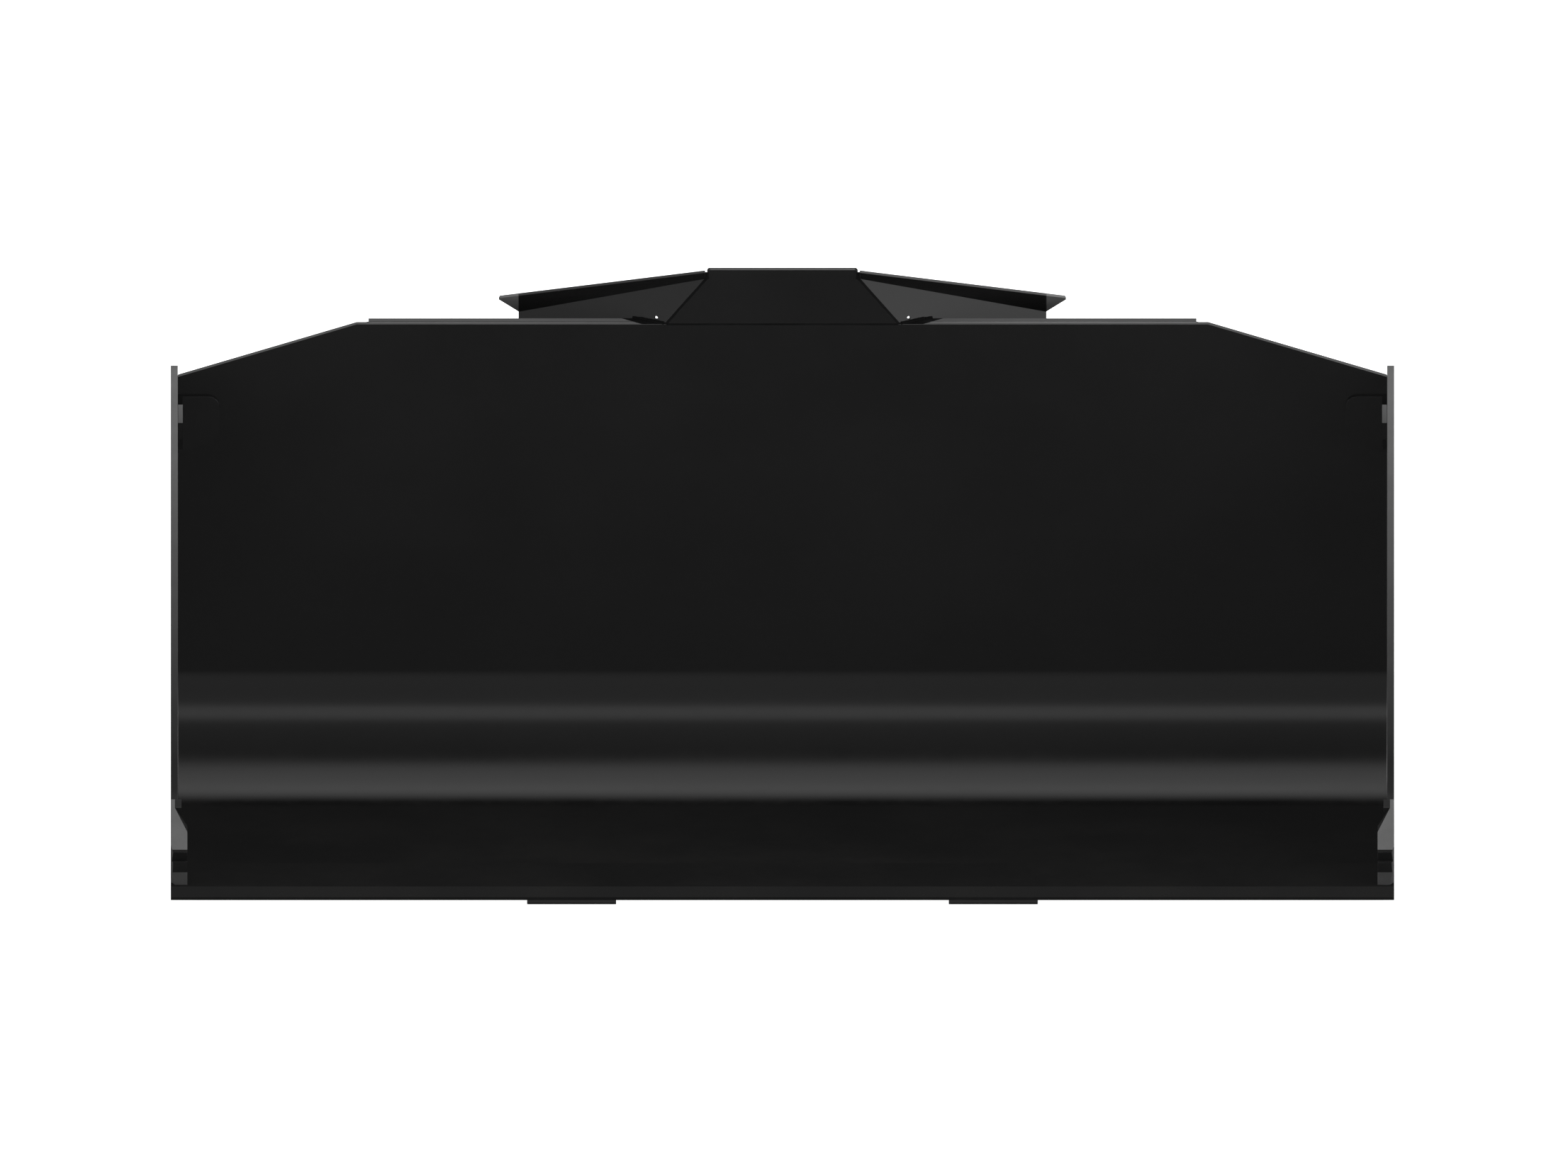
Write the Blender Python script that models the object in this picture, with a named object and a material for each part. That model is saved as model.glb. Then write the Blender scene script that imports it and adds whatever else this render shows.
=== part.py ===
"""Bucket of a compact wheel loader, with a spill guard on its lip and a quick-coupler seat on its back.

X runs across the bucket, +Y points back towards the loader and +Z up. The origin is on the ground, under
the middle of the bucket's box. All sizes are in metres. Section points are (y, z) pairs measured back from
the tip of the cutting edge and up from the ground.
"""

from math import atan2, cos, pi, radians, sin, tan

import bmesh
import bpy
from mathutils import Vector

GAP = 0.0003  # between pieces that touch
LEFT, RIGHT = -1, 1
SHARP = radians(28)  # edges turned by more than this stay sharp
LOBE_STEPS = 12
ROUND_STEPS = 40
CUTTER_OVER = 0.020  # how far the corner guard's cutters run past it

# Overall
BUCKET_WIDTH = 2.060
FLOOR_LENGTH = 0.665  # tip of the cutting edge to the start of the heel
HEEL_RADIUS = 0.156
HEEL_TURN = radians(107)  # from the floor to the back, so the back leans forward by 17 degrees
BACK_LENGTH = 0.6725
SHELL_T = 0.008
CORNER_DROP = 0.102  # the back's top corners are cut off by this much, along the back
LIP_WIDTH = 1.434  # level part of the lip
HEEL_STEPS = 14

# Cutting edge
EDGE_REACH = 0.200
EDGE_T = 0.018
EDGE_NOSE = 0.0048
EDGE_BEVEL = 0.025

# Wear bars
WEAR_WIDTH = 0.150
WEAR_T = 0.016
WEAR_SPACING = 0.710  # between the bars' middles
WEAR_SETBACK = 0.037
WEAR_CHAMFER = 0.003
HEEL_WEAR_TURN = radians(48)

# Side plates
SIDE_T = 0.012
SIDE_LAP = 0.004  # stands out past the shell's outer face, for the weld
SIDE_RISE = 0.015  # above the shell's corner, along the back
SIDE_LEDGE = 0.012  # in front of the back, at the top
SIDE_BULGE = 0.068  # of the leading edge, out from its chord
SIDE_STEPS = 14
ROOT_GAP = 0.003  # between a side plate's front end and the corner guard

# Corner guards. The nose is a list of (back, up) steps from the toe, on top of the cutting edge.
GUARD_WIDTH = 0.028
GUARD_TOE = 0.036
GUARD_LENGTH = 0.103
GUARD_HEIGHT = 0.124
GUARD_NOSE = (
    (0.0110, 0.0190),
    (0.0080, 0.0365),
    (0.0140, 0.0380),
    (0.0080, 0.0540),
    (0.0120, 0.0580),
)
GUARD_CHAMFER = 0.007
GUARD_CHAMFER_DEPTH = 0.020
GUARD_TIP_WIDTH = 0.007  # the ramp narrows to this at its top
GUARD_WEB_WIDTH = 0.018
GUARD_WEB_LENGTH = 0.015
GUARD_SLANT_LOW = 0.081  # heights above the cutting edge where the inner side starts and stops narrowing
GUARD_SLANT_HIGH = 0.113

# Lip bar
LIP_BAR_WIDTH = 1.394
LIP_BAR_HEIGHT = 0.080
LIP_BAR_T = 0.012

# Spill guard
SPILL_HEIGHT = 0.1055
SPILL_BASE_WIDTH = 0.390
SPILL_FOLD = 0.088  # height, along the plate, up to which the wings join it
SPILL_CORNER_RADIUS = 0.005
WING_T = 0.005
WING_SWEEP = radians(20.7)
WING_REACH = 0.2665
WING_SKIRT = 0.045  # below the lip, behind the lip bar
WING_WELD_ROOT = 0.0005
WING_CLEARANCE = 0.001  # over the lip, and behind the lip bar
FLANGE_TURN = radians(50)
FLANGE_INNER = 0.0186
FLANGE_OUTER = 0.054
FLANGE_LEAD = 0.0085  # the free edge's inner corner, in past the fold's inner end
FLANGE_FLARE = 0.0155  # the free edge's outer corner, out past the fold's outer end
FLANGE_CLIP = 0.005  # cut off that outer corner
RELIEF_RADIUS = 0.003
RELIEF_OUT = 0.019
RELIEF_UP = 0.0095

# Corner brackets
BRACKET_T = 0.008
BRACKET_WIDTH = 0.069
BRACKET_HEIGHT = 0.110
BRACKET_BELOW_CORNER = 0.034
BRACKET_RADIUS = 0.018
BRACKET_REACH = 0.055
BRACKET_NOSE = 0.033
BRACKET_TOP_STEP = 0.006
BRACKET_TOP_FLAT = 0.025
BRACKET_SLOPE_DROP = 0.018

# Hangers
HANGER_T = 0.020
HANGER_CLEAR = 0.080  # between the two plates of a pair
PAIR_SPACING = 0.800  # between the middles of the two pairs
HANGER_TOP_REACH = 0.115
HANGER_HEEL_TURN = radians(62)
HOOK_PIN_RADIUS = 0.025
HOOK_BACK = 0.790
HOOK_UP = 0.690
HOOK_LOBE = 0.050
HOOK_PIN_STANDOUT = 0.012
HOOK_PIN_CHAMFER = 0.003
LOCK_BACK = 0.895
LOCK_UP = 0.300
LOCK_LOBE = 0.058
LOCK_BORE_RADIUS = 0.0225
BUSH_WALL = 0.013
BUSH_STANDOUT = 0.006

# Rear channel and ribs
CHANNEL_HEIGHT = 0.100
CHANNEL_DEPTH = 0.045
CHANNEL_T = 0.006
CHANNEL_UP_BACK = 0.230
RIB_T = 0.008
RIB_DEPTH = 0.040
RIB_SPACING = 1.600
RIB_HEEL_TURN = radians(42)
RIB_TAPER = 0.060

# Worked out from the above
BASE_Z = WEAR_T + GAP
EDGE_TOP = BASE_Z + EDGE_T
FLOOR_TOP = BASE_Z + SHELL_T
HALF_WIDTH = BUCKET_WIDTH / 2
INNER_HALF = HALF_WIDTH - SIDE_T - GAP
LEAN = HEEL_TURN - pi / 2
BACK_CORNER = BACK_LENGTH - CORNER_DROP
GUARD_REAR = GUARD_TOE + GUARD_LENGTH
GUARD_TOP = EDGE_TOP + GAP + GUARD_HEIGHT
DEPTH = LOCK_BACK + LOCK_LOBE


def heel(turn, out):
    """Section point on the heel's inner face, turn round from the floor, moved out through the plate."""
    radius = HEEL_RADIUS + out
    return (
        FLOOR_LENGTH + radius * sin(turn),
        FLOOR_TOP + HEEL_RADIUS - radius * cos(turn),
    )


def back(rise, out):
    """Section point on the back's inner face, rise up from the heel, moved out through the plate."""
    y, z = heel(HEEL_TURN, out)
    return (y + rise * cos(HEEL_TURN), z + rise * sin(HEEL_TURN))


def heel_arc(start, stop, out, steps=HEEL_STEPS):
    return [heel(start + (stop - start) * i / steps, out) for i in range(steps + 1)]


def bulged_arc(start, stop, bulge, steps):
    """Points of a circular arc from start to stop that stands out to the left of that direction."""
    a, b = Vector(start), Vector(stop)
    chord = (b - a).length
    along = (b - a) / chord
    left = Vector((-along.y, along.x))
    radius = (chord**2 / 4 + bulge**2) / (2 * bulge)
    half = atan2(chord / 2, radius - bulge)
    centre = (a + b) / 2 + left * (bulge - radius)
    turns = [-half + 2 * half * i / steps for i in range(steps + 1)]
    return [centre + along * radius * sin(t) + left * radius * cos(t) for t in turns]


def lobe(centre, radius, start, stop):
    turns = [start + (stop - start) * i / LOBE_STEPS for i in range(LOBE_STEPS + 1)]
    return [(centre[0] + radius * cos(t), centre[1] + radius * sin(t)) for t in turns]


def paint(name, colour, roughness, metallic=0.0):
    material = bpy.data.materials.new(name)
    material.use_nodes = True
    shader = material.node_tree.nodes["Principled BSDF"]
    shader.inputs["Base Color"].default_value = (*colour, 1)
    shader.inputs["Roughness"].default_value = roughness
    shader.inputs["Metallic"].default_value = metallic
    return material


def add_object(name, mesh, material, location=(0, 0, 0), turn_x=0.0, turn_z=0.0):
    obj = bpy.data.objects.new(name, mesh)
    bpy.context.scene.collection.objects.link(obj)
    obj.parent = BUCKET_FRAME
    obj.location = location
    obj.rotation_euler = (turn_x, 0, turn_z)
    if material:
        mesh.materials.append(material)
    return obj


def closed_mesh(name, points, faces):
    mesh = bpy.data.meshes.new(name)
    mesh.from_pydata([tuple(p) for p in points], [], faces)
    edit = bmesh.new()
    edit.from_mesh(mesh)
    bmesh.ops.recalc_face_normals(edit, faces=edit.faces)
    edit.to_mesh(mesh)
    edit.free()
    return mesh


def extruded(name, outline, low, high, axis="x"):
    """Closed mesh of a flat outline, carried from low to high along an axis."""
    order = {
        "x": lambda a, b, c: (c, a, b),
        "y": lambda a, b, c: (a, c, b),
        "z": lambda a, b, c: (a, b, c),
    }[axis]
    count = len(outline)
    points = [order(a, b, c) for c in (low, high) for a, b in outline]
    sides = [(i, (i + 1) % count, count + (i + 1) % count, count + i) for i in range(count)]
    ends = [tuple(range(count)), tuple(range(2 * count - 1, count - 1, -1))]
    return closed_mesh(name, points, sides + ends)


def box_outline(low_a, high_a, low_b, high_b):
    return [(low_a, low_b), (high_a, low_b), (high_a, high_b), (low_a, high_b)]


def smooth_rounds(obj):
    obj.data.shade_smooth()
    obj.data.set_sharp_from_angle(angle=SHARP)


def cut(obj, cutter, operation="DIFFERENCE"):
    cutter.hide_render = True
    cutter.display_type = "WIRE"
    modifier = obj.modifiers.new(cutter.name, "BOOLEAN")
    modifier.operation = operation
    modifier.object = cutter
    modifier.solver = "EXACT"


def ring_points(radius, x):
    turns = [2 * pi * i / ROUND_STEPS for i in range(ROUND_STEPS)]
    return [(x, radius * cos(t), radius * sin(t)) for t in turns]


def turned(name, profile):
    """Closed mesh turned round the X axis from (x, radius) points; the profile closes on itself."""
    points = [p for x, radius in profile for p in ring_points(radius, x)]
    faces = []
    rings = len(profile)
    for ring in range(rings):
        for i in range(ROUND_STEPS):
            here, there = ring * ROUND_STEPS, (ring + 1) % rings * ROUND_STEPS
            j = (i + 1) % ROUND_STEPS
            faces.append((here + i, here + j, there + j, there + i))
    return closed_mesh(name, points, faces)


def round_bar(name, half_length, radius, chamfer=0.0):
    """Closed mesh of a round bar along X with flat ends."""
    profile = [(-half_length, radius - chamfer), (half_length, radius - chamfer)]
    if chamfer:
        profile[1:1] = [(-half_length + chamfer, radius), (half_length - chamfer, radius)]
    points = [p for x, r in profile for p in ring_points(r, x)]
    faces = [tuple(range(ROUND_STEPS)), tuple(range(len(points) - 1, len(points) - ROUND_STEPS - 1, -1))]
    for ring in range(len(profile) - 1):
        for i in range(ROUND_STEPS):
            here, j = ring * ROUND_STEPS, (i + 1) % ROUND_STEPS
            faces.append((here + i, here + j, here + ROUND_STEPS + j, here + ROUND_STEPS + i))
    return closed_mesh(name, points, faces)


def make_shell():
    """Floor, heel and back, rolled from one plate."""
    columns = [-INNER_HALF, -LIP_WIDTH / 2, LIP_WIDTH / 2, INNER_HALF]
    tops = [BACK_CORNER, BACK_LENGTH, BACK_LENGTH, BACK_CORNER]

    def face_rows(out):
        rows = [[(EDGE_REACH + GAP, FLOOR_TOP - out)] * len(columns)]
        rows += [[point] * len(columns) for point in heel_arc(0, HEEL_TURN, out)]
        rows.append([back(top, out) for top in tops])
        return rows

    inner, outer = face_rows(0), face_rows(SHELL_T)
    wide, tall = len(columns), len(inner)
    points = [(x, *row[k]) for rows in (inner, outer) for row in rows for k, x in enumerate(columns)]
    faces = []
    for shift in (0, wide * tall):
        for i in range(tall - 1):
            for k in range(wide - 1):
                a = shift + i * wide + k
                faces.append((a, a + 1, a + wide + 1, a + wide))
    rim = list(range(wide))
    rim += [i * wide + wide - 1 for i in range(1, tall)]
    rim += [(tall - 1) * wide + k for k in range(wide - 2, -1, -1)]
    rim += [i * wide for i in range(tall - 2, 0, -1)]
    for a, b in zip(rim, rim[1:] + rim[:1]):
        faces.append((a, b, b + wide * tall, a + wide * tall))
    shell = add_object("shell", closed_mesh("shell", points, faces), BLACK_PAINT)
    smooth_rounds(shell)


def make_side_plates():
    edge_back = EDGE_REACH + GAP
    out = SHELL_T + SIDE_LAP
    corner_rise = BACK_CORNER + SIDE_RISE
    foot = (GUARD_REAR + ROOT_GAP, EDGE_TOP + GAP)
    outline = [foot, (edge_back, EDGE_TOP + GAP), (edge_back, BASE_Z - SIDE_LAP)]
    outline += heel_arc(0, HEEL_TURN, out)
    outline.append(back(corner_rise, out))
    leading = bulged_arc((foot[0], GUARD_TOP), back(corner_rise, -SIDE_LEDGE), SIDE_BULGE, SIDE_STEPS)
    outline += [tuple(p) for p in reversed(leading)]
    for side, word in ((LEFT, "left"), (RIGHT, "right")):
        name = f"side_plate_{word}"
        mesh = extruded(name, outline, -SIDE_T / 2, SIDE_T / 2)
        plate = add_object(name, mesh, BLACK_PAINT, (side * (HALF_WIDTH - SIDE_T / 2), 0, 0))
        smooth_rounds(plate)


def make_cutting_edge():
    outline = [
        (0, BASE_Z),
        (EDGE_REACH, BASE_Z),
        (EDGE_REACH, EDGE_TOP),
        (EDGE_BEVEL, EDGE_TOP),
        (0, BASE_Z + EDGE_NOSE),
    ]
    mesh = extruded("cutting_edge", outline, -HALF_WIDTH, HALF_WIDTH)
    add_object("cutting_edge", mesh, BLACK_PAINT)


def make_corner_guards():
    """Each guard's local X runs in from the bucket's outer side."""
    low = EDGE_TOP + GAP
    outline = [(GUARD_REAR, low), (GUARD_TOE, low)]
    outline += [(GUARD_TOE + step, low + up) for step, up in GUARD_NOSE]
    outline.append((GUARD_REAR, GUARD_TOP))
    over = CUTTER_OVER
    web_front = GUARD_REAR - GUARD_WEB_LENGTH
    chamfer = [
        (-over, GUARD_TOE - over),
        (GUARD_CHAMFER * (1 + over / GUARD_CHAMFER_DEPTH), GUARD_TOE - over),
        (0, GUARD_TOE + GUARD_CHAMFER_DEPTH),
        (-over, GUARD_TOE + GUARD_CHAMFER_DEPTH),
    ]
    slant = [
        (GUARD_WIDTH, low + GUARD_SLANT_LOW),
        (GUARD_WIDTH + over, low + GUARD_SLANT_LOW),
        (GUARD_WIDTH + over, GUARD_TOP + over),
        (GUARD_TIP_WIDTH, GUARD_TOP + over),
        (GUARD_TIP_WIDTH, low + GUARD_SLANT_HIGH),
    ]
    web = box_outline(GUARD_WEB_WIDTH, GUARD_WIDTH + over, low + GUARD_SLANT_LOW, GUARD_TOP + over)
    for side, word in ((LEFT, "left"), (RIGHT, "right")):
        name = f"corner_guard_{word}"
        at = (side * HALF_WIDTH, 0, 0)

        def inward(points):
            return [(-side * a, b) for a, b in points]

        ends = sorted((0, -side * GUARD_WIDTH))
        guard = add_object(name, extruded(name, outline, *ends), BLACK_PAINT, at)
        cutters = (
            ("chamfer", extruded(f"{name}_chamfer", inward(chamfer), low - over, GUARD_TOP + over, "z")),
            ("slant", extruded(f"{name}_slant", inward(slant), 0, web_front, "y")),
            ("web", extruded(f"{name}_web", inward(web), web_front - GAP, GUARD_REAR + over, "y")),
        )
        for label, mesh in cutters:
            cut(guard, add_object(f"{name}_{label}_cutter", mesh, None, at))


def make_wear_bars():
    end = FLOOR_LENGTH - GAP
    bar = [
        (WEAR_SETBACK + WEAR_CHAMFER, 0),
        (end, 0),
        (end, WEAR_T),
        (WEAR_SETBACK, WEAR_T),
        (WEAR_SETBACK, WEAR_CHAMFER),
    ]
    strip = heel_arc(0, HEEL_WEAR_TURN, SHELL_T + WEAR_T)
    strip += reversed(heel_arc(0, HEEL_WEAR_TURN, SHELL_T + GAP))
    for side, word in ((LEFT, "left"), (RIGHT, "right")):
        for kind, outline in (("wear_bar", bar), ("heel_wear_strip", strip)):
            name = f"{kind}_{word}"
            mesh = extruded(name, outline, -WEAR_WIDTH / 2, WEAR_WIDTH / 2)
            piece = add_object(name, mesh, BLACK_PAINT, (side * WEAR_SPACING / 2, 0, 0))
            smooth_rounds(piece)


def on_back(name, mesh, material, x=0.0, rise=0.0):
    """Object whose local axes are X, up along the back's inner face, and out of that face to the front."""
    y, z = back(rise, 0)
    return add_object(name, mesh, material, (x, y, z), turn_x=HEEL_TURN)


def make_lip_bar():
    front = -SHELL_T - GAP
    outline = box_outline(-LIP_BAR_HEIGHT, 0, front - LIP_BAR_T, front)
    mesh = extruded("lip_bar", outline, -LIP_BAR_WIDTH / 2, LIP_BAR_WIDTH / 2)
    on_back("lip_bar", mesh, BLACK_PAINT, rise=BACK_LENGTH)


def make_spill_plate():
    """Centre plate, standing on the lip in the plane of the back. Its sides slope in along the wings."""
    base = SPILL_BASE_WIDTH / 2
    neck = base - SPILL_FOLD * sin(LEAN) / tan(WING_SWEEP)
    radius = SPILL_CORNER_RADIUS
    centre = (neck - radius, SPILL_HEIGHT - radius)
    half = [(base, GAP), (neck, SPILL_FOLD)]
    half += [
        (centre[0] + radius * cos(i * pi / 12), centre[1] + radius * sin(i * pi / 12)) for i in range(7)
    ]
    outline = half + [(-x, rise) for x, rise in reversed(half)]
    mesh = extruded("spill_guard_plate", outline, -SHELL_T, 0, "z")
    on_back("spill_guard_plate", mesh, BLACK_PAINT, rise=BACK_LENGTH)


def wing_root_gap():
    """How far out a wing starts, so that its back corner clears the sloping side of the centre plate."""
    slope = sin(LEAN) ** 2 / tan(WING_SWEEP)
    crowd = WING_T * (sin(WING_SWEEP) + slope * cos(WING_SWEEP))
    return (WING_WELD_ROOT + crowd) / (cos(WING_SWEEP) - slope * sin(WING_SWEEP))


def make_wings():
    """Each wing is one upright folded sheet. Local x runs out along it, y back through it and z up."""
    root_gap = wing_root_gap()
    fold_run = SPILL_FOLD * sin(LEAN) / sin(WING_SWEEP)
    fold_rise = SPILL_FOLD * cos(LEAN)
    bar_out = SHELL_T + GAP + LIP_BAR_T
    bar_back, bar_up = bar_out * cos(LEAN), bar_out * sin(LEAN)  # top back corner, from the lip
    behind = WING_T * cos(WING_SWEEP)  # of the wing's back face, behind its front face
    low = behind * tan(LEAN) + WING_CLEARANCE
    over_bar = bar_up + WING_CLEARANCE
    skirt_back = bar_back + (bar_up + WING_SKIRT) * tan(LEAN) + WING_CLEARANCE
    fold_start = root_gap - fold_run * low / fold_rise
    root_in = (root_gap - fold_run, 0, fold_rise)
    root_out = (WING_REACH, 0, 0)
    slope = atan2(fold_rise, WING_REACH - root_in[0])
    along = Vector((cos(slope), 0, -sin(slope)))
    up = Vector((sin(slope), 0, cos(slope)))
    rise = up * cos(FLANGE_TURN) + Vector((0, -1, 0)) * sin(FLANGE_TURN)
    free_in = Vector(root_in) + rise * FLANGE_INNER - along * FLANGE_LEAD
    free_out = Vector(root_out) + rise * FLANGE_OUTER + along * FLANGE_FLARE
    clips = [free_out + (Vector(end) - free_out).normalized() * FLANGE_CLIP for end in (root_out, free_in)]
    front = [
        Vector((fold_start, 0, low)),
        Vector(((bar_back - behind) / sin(WING_SWEEP), 0, over_bar)),
        Vector(((bar_back + WING_CLEARANCE) / sin(WING_SWEEP), 0, over_bar)),
        Vector((skirt_back / sin(WING_SWEEP), 0, -WING_SKIRT)),
        Vector((WING_REACH, 0, -WING_SKIRT)),
        Vector(root_out),
        *clips,
        free_in,
        Vector(root_in),
    ]
    behind_wing = Vector((0, 1, 0))
    behind_flange = up * sin(FLANGE_TURN) + behind_wing * cos(FLANGE_TURN)
    mitre = (behind_wing + behind_flange) / (1 + behind_wing.dot(behind_flange))
    shifts = [behind_wing] * 5 + [mitre] + [behind_flange] * 3 + [mitre]
    rear = [point + shift * WING_T for point, shift in zip(front, shifts)]
    count = len(front)
    faces = [(0, 1, 2, 3, 4, 5, 9), (5, 6, 7, 8, 9)]
    faces += [tuple(count + i for i in reversed(face)) for face in faces]
    faces += [(i, (i + 1) % count, count + (i + 1) % count, count + i) for i in range(count)]
    base_y, base_z = back(BACK_LENGTH, 0)
    relief = [
        (RELIEF_OUT + RELIEF_RADIUS * cos(i * pi / 8), RELIEF_UP + RELIEF_RADIUS * sin(i * pi / 8))
        for i in range(16)
    ]
    for side, word in ((LEFT, "left"), (RIGHT, "right")):
        name = f"spill_guard_wing_{word}"
        points = [(side * x, y, z) for x, y, z in front + rear]
        at = (side * SPILL_BASE_WIDTH / 2, base_y, base_z)
        turn = side * WING_SWEEP
        wing = add_object(name, closed_mesh(name, points, faces), BLACK_PAINT, at, turn_z=turn)
        hole = extruded(f"{name}_relief", [(side * x, z) for x, z in relief], -WING_T, 2 * WING_T, "y")
        cut(wing, add_object(f"{name}_relief_cutter", hole, None, at, turn_z=turn))


def make_corner_brackets():
    """One leg lies on the back and the other on the side plate, as one bent plate."""
    top = BACK_CORNER - BRACKET_BELOW_CORNER
    radius = BRACKET_RADIUS
    arc = [
        (BRACKET_WIDTH - radius + radius * sin(i * pi / 12), -radius + radius * cos(i * pi / 12))
        for i in range(7)
    ]
    leg = [(0, -BRACKET_HEIGHT), (BRACKET_WIDTH - radius, -BRACKET_HEIGHT + radius)]
    leg += [(BRACKET_WIDTH, -BRACKET_HEIGHT + 2 * radius)] + list(reversed(arc)) + [(0, 0)]
    slope_top = -BRACKET_TOP_STEP
    slope_end = slope_top - BRACKET_SLOPE_DROP
    cheek = [
        (-BRACKET_HEIGHT, GAP),
        (slope_end - BRACKET_NOSE, BRACKET_REACH),
        (slope_end, BRACKET_REACH),
        (slope_top, BRACKET_TOP_FLAT),
        (0, BRACKET_T + GAP),
        (0, GAP),
    ]
    for side, word in ((LEFT, "left"), (RIGHT, "right")):
        name = f"corner_bracket_{word}"
        wall = side * INNER_HALF
        flat = [(-side * x, rise) for x, rise in leg]
        bracket = on_back(
            name, extruded(name, flat, GAP, GAP + BRACKET_T, "z"), BLACK_PAINT, x=wall, rise=top
        )
        ends = sorted((0, -side * BRACKET_T))
        cheek_mesh = extruded(f"{name}_cheek", cheek, *ends)
        cut(bracket, on_back(f"{name}_cheek_helper", cheek_mesh, None, x=wall, rise=top), "UNION")


def hull(points):
    """Convex outline round (y, z) points, anticlockwise."""
    ordered = sorted(set(points))

    def chain(run):
        kept = []
        for p in run:
            while len(kept) > 1:
                (ax, ay), (bx, by) = kept[-2], kept[-1]
                if (bx - ax) * (p[1] - ay) - (by - ay) * (p[0] - ax) > 1e-12:
                    break
                kept.pop()
            kept.append(p)
        return kept[:-1]

    return chain(ordered) + chain(ordered[::-1])


def hanger_outline():
    lip_y, lip_z = back(BACK_LENGTH, 0)
    top = lip_z - WING_SKIRT - GAP
    points = lobe((HOOK_BACK, HOOK_UP), HOOK_LOBE, -pi / 2, pi / 2)
    points += lobe((LOCK_BACK, LOCK_UP), LOCK_LOBE, -pi, pi / 2)
    points += [(lip_y, top), (lip_y + HANGER_TOP_REACH, top), heel(HANGER_HEEL_TURN, 0)]
    points.append(heel(HANGER_HEEL_TURN, SHELL_T + SIDE_LAP))
    return hull(points)


def shell_side_outline():
    """All that lies in front of the hangers: the shell's outer face and the lip bar, with a gap."""
    out = SHELL_T + GAP
    bar_out = out + LIP_BAR_T + GAP
    bar_foot = BACK_LENGTH - LIP_BAR_HEIGHT - GAP
    outline = [(0.0, BASE_Z)] + heel_arc(0, HEEL_TURN, out)
    outline += [back(bar_foot, out), back(bar_foot, bar_out), back(BACK_LENGTH + LIP_BAR_HEIGHT, bar_out)]
    outline.append((0.0, outline[-1][1]))
    return outline


def make_hangers():
    outline = hanger_outline()
    relief = extruded("hanger_relief", shell_side_outline(), -HALF_WIDTH, HALF_WIDTH)
    relief_cutter = add_object("hanger_relief_cutter", relief, None)
    pin_half = HANGER_CLEAR / 2 + HANGER_T + HOOK_PIN_STANDOUT
    bush_radius = LOCK_BORE_RADIUS + BUSH_WALL
    hook_at = (0, HOOK_BACK, HOOK_UP)
    lock_at = (0, LOCK_BACK, LOCK_UP)
    hook_hole = add_object(
        "hook_hole_cutter", round_bar("hook_hole", HALF_WIDTH, HOOK_PIN_RADIUS + GAP), None, hook_at
    )
    lock_hole = add_object(
        "lock_hole_cutter", round_bar("lock_hole", HALF_WIDTH, bush_radius + GAP), None, lock_at
    )
    half_bush = HANGER_T / 2 + BUSH_STANDOUT
    bush_profile = [
        (-half_bush, LOCK_BORE_RADIUS),
        (-half_bush, bush_radius),
        (half_bush, bush_radius),
        (half_bush, LOCK_BORE_RADIUS),
    ]
    for side, word in ((LEFT, "left"), (RIGHT, "right")):
        middle = side * PAIR_SPACING / 2
        pin_name = f"hook_pin_{word}"
        pin = round_bar(pin_name, pin_half, HOOK_PIN_RADIUS, HOOK_PIN_CHAMFER)
        at = (middle, HOOK_BACK, HOOK_UP)
        smooth_rounds(add_object(pin_name, pin, BARE_STEEL, at))
        for out, place in ((-1, "inner"), (1, "outer")):
            x = middle + side * out * (HANGER_CLEAR + HANGER_T) / 2
            name = f"hanger_{word}_{place}"
            mesh = extruded(name, outline, -HANGER_T / 2, HANGER_T / 2)
            hanger = add_object(name, mesh, BLACK_PAINT, (x, 0, 0))
            for cutter in (relief_cutter, hook_hole, lock_hole):
                cut(hanger, cutter)
            smooth_rounds(hanger)
            bush_name = f"lock_bush_{word}_{place}"
            bush = add_object(bush_name, turned(bush_name, bush_profile), BARE_STEEL, (x, LOCK_BACK, LOCK_UP))
            smooth_rounds(bush)


def make_rear_channel():
    """Pressed channel across the back, between the inner hangers."""
    low, high = CHANNEL_UP_BACK, CHANNEL_UP_BACK + CHANNEL_HEIGHT
    foot = -SHELL_T - GAP
    crown = foot - CHANNEL_DEPTH
    outline = [
        (low, foot),
        (low, crown),
        (high, crown),
        (high, foot),
        (high - CHANNEL_T, foot),
        (high - CHANNEL_T, crown + CHANNEL_T),
        (low + CHANNEL_T, crown + CHANNEL_T),
        (low + CHANNEL_T, foot),
    ]
    half = PAIR_SPACING / 2 - HANGER_CLEAR / 2 - HANGER_T - GAP
    on_back("rear_channel", extruded("rear_channel", outline, -half, half), BLACK_PAINT)


def make_rear_ribs():
    """Flat ribs on edge, which follow the heel and the back outboard of the hangers."""
    foot = SHELL_T + GAP
    crown = foot + RIB_DEPTH
    crown_start = RIB_HEEL_TURN + RIB_TAPER / (HEEL_RADIUS + crown)
    outline = heel_arc(RIB_HEEL_TURN, HEEL_TURN, foot)
    outline += [back(BACK_CORNER, foot), back(BACK_CORNER - RIB_TAPER, crown)]
    outline += reversed(heel_arc(crown_start, HEEL_TURN, crown))
    for side, word in ((LEFT, "left"), (RIGHT, "right")):
        name = f"rear_rib_{word}"
        mesh = extruded(name, outline, -RIB_T / 2, RIB_T / 2)
        smooth_rounds(add_object(name, mesh, BLACK_PAINT, (side * RIB_SPACING / 2, 0, 0)))


for old in list(bpy.data.objects):
    bpy.data.objects.remove(old, do_unlink=True)

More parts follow.
